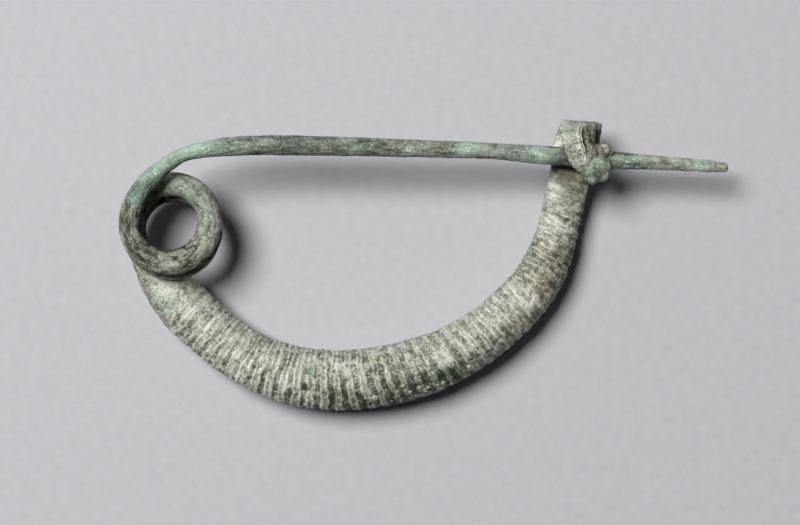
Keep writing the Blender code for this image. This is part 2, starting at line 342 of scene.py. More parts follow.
class Value:
    """The output of a node, which adds and multiplies like a number."""

    def __init__(self, net, socket):
        self.net = net
        self.socket = socket

    def __add__(self, other):
        return self.net.math("ADD", self, other)

    def __sub__(self, other):
        return self.net.math("SUBTRACT", self, other)

    def __rsub__(self, other):
        return self.net.math("SUBTRACT", other, self)

    def __mul__(self, other):
        return self.net.math("MULTIPLY", self, other)

    def __truediv__(self, other):
        return self.net.math("DIVIDE", self, other)

    def __pow__(self, other):
        return self.net.math("POWER", self, other)

    __radd__ = __add__
    __rmul__ = __mul__

    def of(self, operation, *others):
        return self.net.math(operation, self, *others)

    def held(self):
        """The value kept between 0 and 1."""
        return self.net.node("ShaderNodeClamp", {"Value": self})

    def beside(self, name):
        """Another output of the same node."""
        return Value(self.net, self.socket.node.outputs[name])


class Net:
    """Adds nodes to a shader tree or a geometry tree."""

    def __init__(self, tree, entry=None):
        self.tree = tree
        self.entry = entry
        self.of_geometry = tree.bl_idname == "GeometryNodeTree"

    def added(self, kind):
        """A new node, laid out in columns."""
        made = self.tree.nodes.new(kind)
        column, row = divmod(len(self.tree.nodes), NODES_A_COLUMN)
        made.location = (NODE_GAP[0] * column, -NODE_GAP[1] * row)
        return made

    def node(self, kind, inputs=None, out=0, **settings):
        """Adds a node, fills its inputs by name or number, and gives its chosen output."""
        made = self.added(kind)
        for name, value in settings.items():
            setattr(made, name, value)
        for name, value in (inputs or {}).items():
            self.fill(self.find(made.inputs, name), value)
        return Value(self, self.find(made.outputs, out))

    def find(self, sockets, name):
        """The socket with a name or a number, among those that the node's settings show."""
        shown = [socket for socket in sockets if socket.enabled]
        if isinstance(name, int):
            return shown[name]
        return next(socket for socket in shown if socket.name == name)

    def fill(self, socket, value):
        if isinstance(value, Value):
            self.tree.links.new(value.socket, socket)
        else:
            socket.default_value = value

    def math(self, operation, *values):
        return self.node("ShaderNodeMath", dict(enumerate(values)), operation=operation)

    def vector(self, operation, *values):
        return self.node("ShaderNodeVectorMath", dict(enumerate(values)), operation=operation)

    def scaled(self, vector, scale):
        inputs = {"Vector": vector, "Scale": scale}
        return self.node("ShaderNodeVectorMath", inputs, operation="SCALE")

    def joined(self, x, y, z):
        return self.node("ShaderNodeCombineXYZ", {"X": x, "Y": y, "Z": z})

    def part(self, vector, axis):
        """One part of a vector, by its name."""
        return self.node("ShaderNodeSeparateXYZ", {"Vector": vector}, out=axis)

    def rise(self, value, low, high, to_low=0.0, to_high=1.0):
        """Eases from to_low to to_high as the value goes from low to high."""
        inputs = {
            "Value": value,
            "From Min": low,
            "From Max": high,
            "To Min": to_low,
            "To Max": to_high,
        }
        return self.node("ShaderNodeMapRange", inputs, interpolation_type="SMOOTHSTEP")

    def mixed(self, share, low, high):
        """A number between low and high."""
        return self.node("ShaderNodeMix", {"Factor": share, "A": low, "B": high})

    def tinted(self, share, low, high, blend="MIX"):
        """A colour between low and high."""
        inputs = {"Factor": share, "A": low, "B": high}
        return self.node("ShaderNodeMix", inputs, data_type="RGBA", blend_type=blend)

    def dyed(self, share, colour, dye):
        """A colour with a share of it multiplied by a dye."""
        return self.tinted(share, colour, self.tinted(1.0, colour, dye, "MULTIPLY"))

    def noise(
        self, place, scale, detail=2.0, roughness=0.5, distortion=0.0, stretch=None, shift=None
    ):
        """Cloudy noise from 0 to 1, with features about 1 / scale across."""
        if stretch:
            place = self.vector("MULTIPLY", place, stretch)
        if shift:
            place = self.vector("ADD", place, shift)
        inputs = {
            "Vector": place,
            "Scale": scale,
            "Detail": detail,
            "Roughness": roughness,
            "Distortion": distortion,
        }
        return self.node("ShaderNodeTexNoise", inputs)

    def cells(self, place, scale):
        """The distance to the nearest of many scattered points, about 1 / scale apart."""
        return self.node("ShaderNodeTexVoronoi", {"Vector": place, "Scale": scale}, out="Distance")

    def attribute(self, name, vector=False):
        if self.of_geometry:
            kind = "FLOAT_VECTOR" if vector else "FLOAT"
            found = {"Name": name}
            return self.node("GeometryNodeInputNamedAttribute", found, data_type=kind)
        side = "Vector" if vector else "Fac"
        return self.node("ShaderNodeAttribute", out=side, attribute_name=name)

    def store(self, geometry, name, value, kind="FLOAT"):
        inputs = {"Geometry": geometry, "Name": name, "Value": value}
        return self.node("GeometryNodeStoreNamedAttribute", inputs, data_type=kind)

    def given(self, name):
        """One of the tree's own named inputs."""
        return Value(self, self.entry.outputs[name])

    def lifted(self, geometry, lift):
        """A mesh with each point moved along its normal."""
        offset = self.scaled(self.node("GeometryNodeInputNormal"), lift)
        return self.node("GeometryNodeSetPosition", {"Geometry": geometry, "Offset": offset})

    def placed(self, geometry, place):
        return self.node("GeometryNodeSetPosition", {"Geometry": geometry, "Position": place})


def geometry_net(name, sizes):
    """An empty geometry tree with a named input for each size."""
    tree = bpy.data.node_groups.new(name, "GeometryNodeTree")
    face = tree.interface
    face.new_socket("Geometry", in_out="INPUT", socket_type="NodeSocketGeometry")
    face.new_socket("Geometry", in_out="OUTPUT", socket_type="NodeSocketGeometry")
    kinds = {float: "NodeSocketFloat", int: "NodeSocketInt", tuple: "NodeSocketVector"}
    for label, value in sizes.items():
        face.new_socket(label, in_out="INPUT", socket_type=kinds[type(value)])
    return Net(tree, tree.nodes.new("NodeGroupInput"))


def finish_tree(net, geometry, material):
    """Ends a tree: no instances, smooth faces, one material."""
    geometry = net.node("GeometryNodeRealizeInstances", {"Geometry": geometry})
    geometry = net.node("GeometryNodeSetShadeSmooth", {0: geometry})
    inputs = {"Geometry": geometry, "Material": material}
    geometry = net.node("GeometryNodeSetMaterial", inputs)
    end = net.tree.nodes.new("NodeGroupOutput")
    net.tree.links.new(geometry.socket, end.inputs["Geometry"])
    return net.tree


def grown(name, start, tree, sizes, kept=()):
    """Runs a geometry tree on a starting mesh and returns the result as a plain mesh object."""
    made = bpy.data.objects.new(name, start)
    bpy.context.scene.collection.objects.link(made)
    modifier = made.modifiers.new(tree.name, "NODES")
    modifier.node_group = tree
    for item in tree.interface.items_tree:
        if item.in_out == "INPUT" and item.name in sizes:
            modifier[item.identifier] = sizes[item.name]
    bpy.context.view_layer.update()
    seen = made.evaluated_get(bpy.context.evaluated_depsgraph_get())
    plain = bpy.data.meshes.new_from_object(seen)
    made.modifiers.remove(modifier)
    made.data = plain
    plain.name = name
    for layer in [layer.name for layer in plain.attributes]:
        built_in = layer.startswith(".") or layer in ("position", "sharp_face", "material_index")
        if not built_in and layer not in kept:
            plain.attributes.remove(plain.attributes[layer])
    return made


# --- Patterns shared by the relief and the patina ---------------------------------------------


def rib_pattern(net, place, number):
    """The ribs' height from 0 to 1, and how far a spot and its crest's edge are from the middle."""
    share = net.attribute("groove_share")
    slow = net.noise(place, 0.30, 2.0) - 0.5
    quick = net.noise(place, 0.9, 2.0) - 0.5
    slanted = number - net.attribute("slant") * net.attribute("facing_out")
    wandered = slanted + slow * 0.6 + quick * 0.20
    middle = (wandered.of("FRACT") - 0.5).of("ABSOLUTE")
    edge = 0.5 - share * 0.5
    height = net.rise(middle - edge, 0.08, -0.06)
    return height, middle, edge


def tongue_pattern(net, place):
    """Two crooked ridges along the folded tongue, 1 on a ridge and 0 beside it."""
    side = net.attribute("facing_out") + (net.noise(place, 0.8, 2.0) - 0.5) * 0.9
    inner = net.rise((side - 0.30).of("ABSOLUTE"), 0.16, 0.02)
    outer = net.rise((side - 0.72).of("ABSOLUTE"), 0.13, 0.02)
    return inner.of("MAXIMUM", outer) * net.attribute("tongue")


def scab_pattern(net, place):
    """Broken crust: 1 on the scabs left standing and 0 where they have come off."""
    field = net.noise(place, 0.95, 3.0, 0.6, 0.5, stretch=(1.25, 0.60, 0.60))
    return net.rise(field, 0.45, 0.54)


def pit_pattern(net, place):
    """Small corrosion pits, 0 on sound metal and 1 in a pit."""
    patchy = net.noise(place, 0.22, 2.0)
    fine = net.noise(place, 1.25, 3.0, 0.55, 0.4)
    return net.rise(fine + patchy * 0.25, 0.66, 0.80)


def flake_pattern(net, place):
    """Drawn ridges that follow the wire, and the shorter flakes of the spring."""
    round_the_wire = net.vector("MULTIPLY", place, (0.0, 1.25, 1.25))
    place = net.vector("ADD", round_the_wire, net.joined(net.attribute("flow"), 0.0, 0.0))
    return net.noise(place, 0.85, 2.5, 0.55, 0.4)


def ridge_pattern(net, place):
    """Thin crooked ridges in the crust beside the tongue, 1 on a ridge and 0 between them."""
    field = net.noise(place, 0.50, 2.0, 0.5, 0.6)
    line = net.rise(((field * 5.0).of("FRACT") - 0.5).of("ABSOLUTE"), 0.13, 0.02)
    return line * net.rise(net.part(place, "Y"), CRUST_FROM - 0.5, CRUST_FROM + 0.5)


# --- The bronze rod ---------------------------------------------------------------------------


def section_places(rod):
    """Every length at which the rod gets a section."""
    ribbed, foot = rod.floors[0] - BOW_MARGIN, rod.floors[-1] + BOW_MARGIN
    spans = (
        (0.0, ribbed, WIRE_SPACING),
        (ribbed, foot, BOW_SPACING),
        (foot, rod.length, FOOT_SPACING),
    )
    places = [
        np.linspace(low, high, int(round((high - low) / gap)), endpoint=False)
        for low, high, gap in spans
    ]
    return np.concatenate(places + [[rod.length]])


def read_table(rows, columns, places):
    """Each named column of a table, read at the places by its first column."""
    rows = np.array(rows)
    return {
        name: np.interp(places, rows[:, 0], rows[:, i]) for i, name in enumerate(columns, 1)
    }


def character(rod, places):
    """What the ribs and the patina are like at each place."""
    number = rod.rib_number(places)
    ribs = read_table(RIB_CHARACTER, RIB_COLUMNS, number)
    patina = read_table(PATINA, PATINA_COLUMNS, places)
    shortness = patina.pop("shortness")
    steps = np.diff(places) * 0.5 * (shortness[1:] + shortness[:-1])
    fade = np.minimum(number, RIB_COUNT - number) / FADED_RIBS
    ribs["ribbed"] *= np.clip(fade, 0.0, 1.0)
    ribs["belt"] *= (number > 0) & (number < RIB_COUNT)
    ribs["scabby"] *= places > rod.neck
    return {
        "rib_number": number,
        "flow": np.concatenate([[0.0], np.cumsum(steps)]),
        "wire": smooth_step((rod.neck + WIRE_PAST_NECK - places) / WIRE_FADE),
        "foot": smooth_step((places - rod.floors[-1] + FOOT_BEFORE_RIBS_END) / FOOT_FADE),
        "tongue": smooth_step((places - rod.tongue) / TONGUE_FADE),
        **ribs,
        **patina,
    }


def rail_mesh(rod):
    """A line of points along the rod, each with the size and character of its section."""
    places = section_places(rod)
    out, up, run = rod.axes(places)
    centres = rod.centre(places) + CENTRING
    halves = 0.5 * rod.size(places)

    # The first and the last section are repeated, ever smaller, for the round ends.
    nose = np.radians(NOSE_ANGLES)
    level = np.zeros(len(places))
    reach = np.concatenate([-np.sin(nose[::-1]), level, np.sin(nose)]) * TIP_LENGTH
    slim = np.concatenate([np.cos(nose[::-1]), level + 1.0, np.cos(nose)])
    rows = [np.repeat(0, len(nose)), np.arange(len(places)), np.repeat(-1, len(nose))]
    rows = np.concatenate(rows)
    places, out, up, run = places[rows], out[rows], up[rows], run[rows]
    centres = centres[rows] + run * reach[:, None]
    halves = halves[rows] * slim[:, None]

    mesh = bpy.data.meshes.new("rail")
    mesh.from_pydata(centres.tolist(), [(i, i + 1) for i in range(len(places) - 1)], [])
    layers = {
        "centre": centres,
        "out": out,
        "up": up,
        "half_width": halves[:, 0],
        "half_height": halves[:, 1],
        "power": 2.0 / rod.squareness(places),
        "along": places + reach,
        **character(rod, places),
    }
    for name, values in layers.items():
        kind = "FLOAT_VECTOR" if np.ndim(values) == 2 else "FLOAT"
        layer = mesh.attributes.new(name, kind, "POINT")
        side = "vector" if kind == "FLOAT_VECTOR" else "value"
        layer.data.foreach_set(side, np.asarray(values, np.float32).ravel())
    return mesh


ROD_SIZES = {
    "Sides": 96,
    "Closer on top": 0.36,
    "Rib depth": 0.36,
    "Inner share of depth": 0.35,
    "Crest hollow": 0.14,
    "Broad wear": 0.16,
    "Grain": 0.13,
    "Pit depth": 0.13,
    "Flake height": 0.30,
    "Tongue ridges": 0.14,
    "Scab height": 0.12,
    "Lowest corner": (0.0, 0.0, 0.0),
    "Highest corner": (0.0, 0.0, 0.0),
}


def swept_bar(net):
    """A bar along the rail, with the width, height and squareness of each of its points."""
    rail = net.node("GeometryNodeMeshToCurve", {"Mesh": net.given("Geometry")})
    ring = {"Resolution": net.given("Sides"), "Radius": 1.0}
    ring = net.node("GeometryNodeCurvePrimitiveCircle", ring, out="Curve", mode="RADIUS")
    share = net.node("GeometryNodeInputIndex") * TAU / net.given("Sides")
    ring = net.store(ring, "turn", share + net.given("Closer on top") * share.of("COSINE"))
    inputs = {"Curve": rail, "Profile Curve": ring, "Fill Caps": True}
    bar = net.node("GeometryNodeCurveToMesh", inputs)

    turn = net.attribute("turn")
    power = net.attribute("power")
    sides = []
    for wave, half in (("COSINE", "half_width"), ("SINE", "half_height")):
        wave = turn.of(wave)
        bulge = wave.of("SIGN") * wave.of("ABSOLUTE") ** power
        sides.append(bulge * net.attribute(half))
    across, upright = sides
    place = net.attribute("centre", vector=True)
    place = net.vector("ADD", place, net.scaled(net.attribute("out", vector=True), across))
    place = net.vector("ADD", place, net.scaled(net.attribute("up", vector=True), upright))
    straight = net.joined(net.attribute("along"), across, upright)
    bar = net.store(bar, "straight", straight, "FLOAT_VECTOR")
    bar = net.store(bar, "facing_out", turn.of("COSINE"))
    return net.node("GeometryNodeFlipFaces", {"Mesh": net.placed(bar, place)})


def bar_relief(net):
    """How far the skin stands above the plain bar: ribs, wear, grain, pits, flakes and scabs."""
    straight = net.attribute("straight", vector=True)
    outward = net.attribute("facing_out")
    wire = net.attribute("wire")
    ribbed = net.attribute("ribbed")
    height, middle, _ = rib_pattern(net, straight, net.attribute("rib_number"))
    inner = net.given("Inner share of depth")
    outer = (outward * 0.6 + 0.5).held()
    depth = net.given("Rib depth") * (inner + (1.0 - inner) * outer)
    worn = net.rise(net.noise(straight, 0.40, 2.0), 0.34, 0.62, 0.35, 1.0)
    belt = net.attribute("belt") * net.rise(outward, 0.35, 0.85)
    worn = worn * (1.0 - belt * 0.6)
    cut = (1.0 - height) * depth * ribbed * worn
    hollow = net.rise(middle, 0.16, 0.02) * net.attribute("doubled") * ribbed
    hollow = hollow * net.given("Crest hollow")
    bare = 1.0 - net.attribute("foot") * 0.6
    broad = (net.noise(straight, 0.45, 2.0) - 0.5) * net.given("Broad wear")
    grain = (net.noise(straight, 1.7, 3.0, 0.6) - 0.5) * net.given("Grain") * bare
    pits = pit_pattern(net, straight) * net.given("Pit depth") * bare
    flakes = flake_pattern(net, straight)
    flakes = (flakes - 0.5) * 0.8 + net.rise(flakes, 0.39, 0.47, -0.24, 0.06)
    flakes = flakes * net.given("Flake height") * wire * net.attribute("flaky")
    ridges = tongue_pattern(net, straight) * net.given("Tongue ridges")
    scabs = (scab_pattern(net, straight) - 0.5) * net.given("Scab height")
    scabs = scabs * net.attribute("scabby")
    return broad + grain + flakes + ridges + scabs - cut - hollow - pits


def rod_tree(material):
    """Sweeps a round bar along the rail, cuts its ribs and wears its skin."""
    net = geometry_net("bronze_rod", ROD_SIZES)
    bar = net.lifted(swept_bar(net), bar_relief(net))
    spot = net.node("GeometryNodeInputPosition")
    spot = net.vector("MAXIMUM", spot, net.given("Lowest corner"))
    spot = net.vector("MINIMUM", spot, net.given("Highest corner"))
    bar = net.placed(bar, net.scaled(spot, MM))
    return finish_tree(net, bar, material)


# --- Corrosion --------------------------------------------------------------------------------

# The knobs that have grown together over the catch: x, y, z, radius. The green ones hold the
# pin, the grey ones lie beside the tongue and the last ones are soil in the hollow behind it.
KNOBS = [
    (27.85, 16.25, 11.3, 2.35),
    (26.85, 16.85, 12.4, 1.2),
    (26.75, 15.75, 12.1, 1.25),
    (27.45, 14.8, 11.3, 1.4),
    (27.45, 14.3, 10.8, 0.95),
    (29.05, 16.35, 11.5, 1.45),
    (28.75, 15.25, 11.3, 1.5),
    (28.25, 17.65, 11.8, 1.2),
    (27.05, 18.4, 12.45, 1.2),
    (28.15, 18.75, 11.9, 1.15),
    (29.3, 18.9, 11.35, 1.1),
    (30.15, 18.55, 11.0, 0.75),
    (26.85, 19.35, 12.3, 0.65),
    (26.25, 20.45, 11.3, 0.95),
    (27.05, 20.45, 10.6, 0.9),
    (26.15, 21.55, 11.1, 0.85),
    (27.15, 21.45, 10.4, 0.85),
    (26.55, 20.95, 9.6, 1.0),
]
CRUST_FROM = 18.0  # y from which the lump is grey crust
SOIL_FROM = 20.05  # y from which it is soil
DUSTY_SPOT = (29.6, 15.5, 12.4)  # the verdigris is paler and greyer here
DARKER_INWARD = (28.55, 27.55)  # x over which the grey crust darkens towards the tongue
GREY_MARGIN = (27.5, 26.5)  # x over which the grey crust reaches further down
MARGIN_REACH = 1.8
LUMP_EDGE = 0.1  # the density at which the lump's surface lies

LUMP_SIZES = {
    "Grid": 0.13,
    "Bumps": 0.19,
    "Grains": 0.04,
    "Ridges": 0.09,
}


def lump_tree(material):
    """The corrosion lump on the catch: knobs run together, with bumps and grains on them."""
    net = geometry_net("catch_lump", LUMP_SIZES)
    grid = net.given("Grid")
    radius = net.attribute("radius")
    inputs = {"Mesh": net.given("Geometry"), "Radius": radius}
    knobs = net.node("GeometryNodeMeshToPoints", inputs)
    inputs = {"Points": knobs, "Radius": radius, "Voxel Size": grid}
    body = net.node("GeometryNodePointsToVolume", inputs, resolution_mode="VOXEL_SIZE")
    inputs = {"Volume": body, "Voxel Size": grid, "Threshold": LUMP_EDGE}
    lump = net.node("GeometryNodeVolumeToMesh", inputs, resolution_mode="VOXEL_SIZE")
    place = net.node("GeometryNodeInputPosition")
    bumps = (net.noise(place, 0.8, 2.0) - 0.5) * 2.0 * net.given("Bumps")
    grains = net.rise(net.cells(place, 3.3), 0.65, 0.1, -0.5, 0.5) * net.given("Grains")
    ridges = ridge_pattern(net, place) * net.given("Ridges")
    lump = net.lifted(lump, bumps + grains + ridges)
    return finish_tree(net, net.placed(lump, net.scaled(place, MM)), material)


CRUMB_SIZES = {
    "Crumbs per square metre": 1.4e6,
    "Smallest": 0.16,
    "Largest": 0.56,
    "Rarity of large ones": 3.0,
    "Flatness": 0.30,
    "Lumpiness": 0.45,
    "Segments": 8,
    "Rings": 5,
    "Seed": 4,
}


def crumb_tree(material):
    """Rounded grains of crust, half sunk in the bronze, thickest where it is marked as crusty."""
    net = geometry_net("crust_crumbs", CRUMB_SIZES)
    crusty = net.attribute("crusty")
    inputs = {
        "Mesh": net.given("Geometry"),
        "Density": crusty * net.given("Crumbs per square metre"),
        "Seed": net.given("Seed"),
    }
    points = net.node("GeometryNodeDistributePointsOnFaces", inputs, out="Points")
    inputs = {"Segments": net.given("Segments"), "Rings": net.given("Rings"), "Radius": MM}
    ball = net.node("GeometryNodeMeshUVSphere", inputs, out="Mesh")
    inputs = {"Min": 0.0, "Max": 1.0, "Seed": net.given("Seed")}
    chance = net.node("FunctionNodeRandomValue", inputs, out="Value", data_type="FLOAT")
    large = chance ** net.given("Rarity of large ones")
    large = large.of("MAXIMUM", net.rise(crusty, 2.0, 4.0, 0.0, 0.7))
    smallest = net.given("Smallest")
    size = smallest + (net.given("Largest") - smallest) * large
    scale = net.joined(size, size * (0.75 + chance * 0.4), size * net.given("Flatness"))
    inputs = {
        "Points": points,
        "Instance": ball,
        "Rotation": points.beside("Rotation"),
        "Scale": scale,
    }
    crumbs = net.node("GeometryNodeInstanceOnPoints", inputs)
    crumbs = net.node("GeometryNodeRealizeInstances", {"Geometry": crumbs})
    place = net.scaled(net.node("GeometryNodeInputPosition"), 1.0 / MM)
    lumpy = (net.noise(place, 2.2, 2.0) - 0.5) * net.given("Lumpiness") * MM
    return finish_tree(net, net.lifted(crumbs, lumpy), material)


# --- Materials --------------------------------------------------------------------------------

# Each list runs from bare to thickly covered. Colours are as they look on a screen, 0 to 255.
BRONZE_TONES = [
    (0.10, (48, 50, 39)),
    (0.30, (98, 100, 87)),
    (0.46, (150, 151, 140)),
    (0.58, (184, 185, 174)),
    (0.78, (214, 215, 206)),
    (1.00, (238, 238, 231)),
]
VERDIGRIS_TONES = [
    (0.10, (36, 42, 36)),
    (0.32, (84, 95, 86)),
    (0.50, (137, 153, 142)),
    (0.70, (175, 198, 185)),
    (0.95, (225, 239, 231)),
]
LUMP_TONES = [
    (0.10, (52, 57, 48)),
    (0.34, (104, 118, 103)),
    (0.55, (142, 160, 143)),
    (0.80, (184, 198, 184)),
    (1.00, (220, 230, 218)),
]
CRUST_TONES = [
    (0.10, (56, 55, 50)),
    (0.36, (95, 93, 87)),
    (0.60, (127, 124, 117)),
    (0.85, (196, 193, 184)),
    (1.00, (226, 224, 216)),
]
CRUMB_TONES = [
    (0.15, (92, 98, 82)),
    (0.45, (152, 158, 142)),
    (0.75, (196, 202, 186)),
    (1.00, (228, 232, 220)),
]
PAPER_TONES = [(0.3, (176, 176, 181)), (0.7, (181, 181, 186))]

# How much of the pale crust the bow and the wire keep where nothing else changes it.
BOW_CRUST = 0.545
WIRE_CRUST = 0.45


def tone(red, green, blue):
    """A colour given as it looks on a screen, from 0 to 255."""
    shares = [value / 255.0 for value in (red, green, blue)]
    return (*[s / 12.92 if s < 0.04045 else ((s + 0.055) / 1.055) ** 2.4 for s in shares], 1.0)


LEAF_DYE = tone(253, 255, 247)
VIVID_DYE = tone(228, 255, 241)
WARM_DYE = tone(251, 251, 234)
BROWN_DYE = tone(242, 230, 212)
SOIL_DYE = tone(236, 240, 222)
SHADE_DYE = tone(206, 210, 200)


def new_material(name):
    material = bpy.data.materials.new(name)
    material.use_nodes = True
    net = Net(material.node_tree)
    return material, net, material.node_tree.nodes["Principled BSDF"]


def ramp(net, share, stops):
    """A colour that runs through the stops as share goes from 0 to 1."""
    made = net.added("ShaderNodeValToRGB")
    band = made.color_ramp.elements
    while len(band) < len(stops):
        band.new(0.5)
    for element, (at, colour) in zip(band, stops):
        element.position = at
        element.color = tone(*colour)
    net.fill(made.inputs["Fac"], share)
    return Value(net, made.outputs["Color"])


def finish_shader(net, shader, colour, dull, bumps, depth, strength=1.0):
    """Gives a shader its colour, its dullness and bumps of a depth in millimetres."""
    net.fill(shader.inputs["Base Color"], colour)
    net.fill(shader.inputs["Roughness"], dull.held())
    inputs = {"Strength": strength, "Distance": depth * MM, "Height": bumps}
    net.fill(shader.inputs["Normal"], net.node("ShaderNodeBump", inputs))


def skin_patterns(net):
    """The layers and noises that the bronze's crust and colours share."""
    straight = net.attribute("straight", vector=True)
    skin = SimpleNamespace(straight=straight)
    for name in ("wire", "foot", "tongue", "ribbed", "doubled", "flaky", "scabby", "verdigris"):
        setattr(skin, name, net.attribute(name))
    skin.plate = skin.foot - skin.tongue
    skin.outward = net.attribute("facing_out")
    skin.patchy = net.noise(straight, 0.30, 2.0, 0.5)
    skin.mottle = net.noise(straight, 0.75, 3.0, 0.55)
    skin.speckle = net.noise(straight, 3.2, 3.0, 0.75)
    skin.ragged = skin.outward + (skin.mottle - 0.5) * 0.9
    return skin


def bow_crust(net, skin):
    """How much crust the bow and foot keep, how dark the gaps between the ribs are, and a paler
    outer edge that is partly painted light.
    """
    straight, ragged = skin.straight, skin.ragged
    height, middle, edge = rib_pattern(net, straight, net.attribute("rib_number"))
    line = net.rise((middle - edge + 0.09).of("ABSOLUTE"), 0.085, 0.01) * skin.doubled
    inside = net.rise(middle - edge, -0.10, -0.18) * skin.doubled
    groove = 1.0 - height
    # The outer edge is paler: partly pale crust and partly painted light that stands in for fill on
    # the side turned from the lamp.
    rim = net.rise(ragged, 0.84, 1.04)
    band = net.rise(ragged + (skin.patchy - 0.5) * 0.9, -0.25, 0.60) * (1.0 - rim * 0.7)
    belt = net.attribute("belt") * (groove * 0.35 + 0.65)
    blotch = net.noise(straight, 0.6, 2.0, shift=(60.0, 2.0, 4.0))
    blotch = net.rise(blotch, 0.40, 0.58, 0.4, 1.2)
    dark = (groove * net.attribute("dark_gaps") * blotch).of("MAXIMUM", belt) * band
    shown = net.noise(straight, 0.6, 3.0, 0.7, shift=(3.0, 50.0, 9.0))
    ribs = height * 0.05 + line * 0.19 * net.rise(shown, 0.42, 0.58, 0.0, 1.15) - inside * 0.07
    ribs = ribs - groove * 0.07 * net.rise(shown, 0.66, 0.40, 0.3, 1.2)
    streaks = net.noise(straight, 1.0, 3.0, 0.6, 0.3, stretch=(1.9, 0.42, 0.42))
    streaky = skin.flaky * 0.6 + skin.plate * 0.12 + 0.2
    crust = BOW_CRUST + ribs * skin.ribbed + (streaks - 0.5) * streaky - dark * 0.26 + rim * 0.08
    return crust, dark


def wire_crust(net, skin):
    """How much crust the pin and spring keep."""
    flakes = flake_pattern(net, skin.straight)
    cracks = net.rise(flakes, 0.47, 0.38)
    crust = WIRE_CRUST + (flakes - 0.5) * (0.22 + skin.flaky * 0.20)
    return crust - (cracks - 0.2) * skin.flaky * 0.16


def crust_cover(net, skin):
    """How far the pale crust hides the dark olive below it, from 0 to 1, with painted shade inside
    the spring and painted glints on the bow's inner edge.
    """
    straight, wire, foot = skin.straight, skin.wire, skin.foot
    flaky, scabby, tongue = skin.flaky, skin.scabby, skin.tongue
    bow, dark = bow_crust(net, skin)
    uneven = net.mixed(wire, flaky + 0.5, flaky * 0.6 + 0.25) * (1.0 - foot * 0.4)
    uneven = uneven * (1.0 - scabby * 0.22)
    clouds = (skin.patchy - 0.5) * 0.40 + (skin.mottle - 0.5) * 0.46
    cover = net.mixed(wire, bow, wire_crust(net, skin)) + clouds * uneven
    cover = cover + (scab_pattern(net, straight) - 0.5) * 0.14 * scabby

    grain = net.rise(skin.patchy, 0.65, 0.35, 0.75, 1.20) * net.mixed(wire, 1.0, 0.58)
    grain = grain * (1.0 - scabby * 0.45) * (1.0 - skin.plate * 0.3 + tongue * 0.6)
    flecks = net.rise(net.noise(straight, 1.9, 3.0, 0.6, 0.5), 0.57, 0.66)
    lost = flecks * 0.14 + pit_pattern(net, straight) * 0.16
    cover = cover + (skin.speckle - 0.5) * grain - lost * uneven * (1.0 - foot * 0.5)

    crumbs = net.rise(net.noise(straight, 2.1, 3.0, 0.6, shift=(31.0, 7.0, 5.0)), 0.58, 0.68)
    # Pale specks along the bow's inner edge: partly crust and partly painted glints where the lamp
    # strikes that edge.
    inner_rim_crumbs_and_glints = net.rise(skin.ragged, -0.60, -0.98) * skin.ribbed
    crumb_and_glint_share = inner_rim_crumbs_and_glints * 0.20 + dark * skin.ribbed * 0.22 + wire * skin.verdigris * 0.18
    cover = cover + crumbs * (crumb_and_glint_share + 0.09)
    edging = net.rise(skin.outward, 0.25, 0.55) * tongue
    cover = cover + tongue_pattern(net, straight) * 0.26 - edging * 0.14
    # Painted shade: the inside of the spring's coils is darkened where its eye lies in shadow.
    painted_eye_shade = net.rise(skin.outward, -0.70, -1.0) * net.rise(flaky, 0.75, 0.95)
    return cover + net.attribute("paleness") - painted_eye_shade * 0.22


def bronze_colour(net, skin, cover):
    """Crust over olive, turned green by verdigris and brown where it is stained."""
    colour = ramp(net, cover, BRONZE_TONES)
    mint = ramp(net, cover, VERDIGRIS_TONES)
    mint = net.dyed(1.0 - skin.wire, mint, LEAF_DYE)
    green = skin.verdigris + (net.noise(skin.straight, 1.1, 4.0, 0.65) - 0.5) * 1.5
    colour = net.tinted(net.rise(green, 0.05, 0.85, 0.0, 0.9), colour, mint)
    colour = net.dyed(net.rise(green, 0.9, 1.5, 0.0, 0.45), colour, VIVID_DYE)
    warm = net.rise(net.noise(skin.straight, 0.4, 3.0, 0.6, shift=(9.0, 9.0, 70.0)), 0.50, 0.66)
    colour = net.dyed(warm * 0.7, colour, WARM_DYE)
    brown = net.rise(net.attribute("brownness") + (skin.mottle - 0.5) * 1.4, 0.3, 0.9)
    brown = brown * net.rise(cover, 0.75, 0.42, 0.15, 1.0)
    return net.dyed(brown, colour, BROWN_DYE)


def patinated_bronze():
    """Old bronze: a pale crust over dark olive, worn off in the grooves, green here and there, with
    painted shade in the spring's eye and painted glints and light on the bow's edges.
    """
    material, net, shader = new_material("patinated_bronze")
    skin = skin_patterns(net)
    cover = crust_cover(net, skin)
    colour = bronze_colour(net, skin, cover)
    dull = net.mixed(cover.held(), 0.78, 0.48) + (skin.speckle - 0.5) * 0.3
    bumps = net.noise(skin.straight, 2.6, 5.0, 0.7) + cover * 0.35
    finish_shader(net, shader, colour, dull, bumps, depth=0.16)
    shader.inputs["Metallic"].default_value = 0.08
    shader.inputs["Specular IOR Level"].default_value = 0.5
    return material


def object_place(net):
    """Where a spot of the object is, in millimetres."""
    return net.scaled(net.node("ShaderNodeTexCoord", out="Object"), 1.0 / MM)


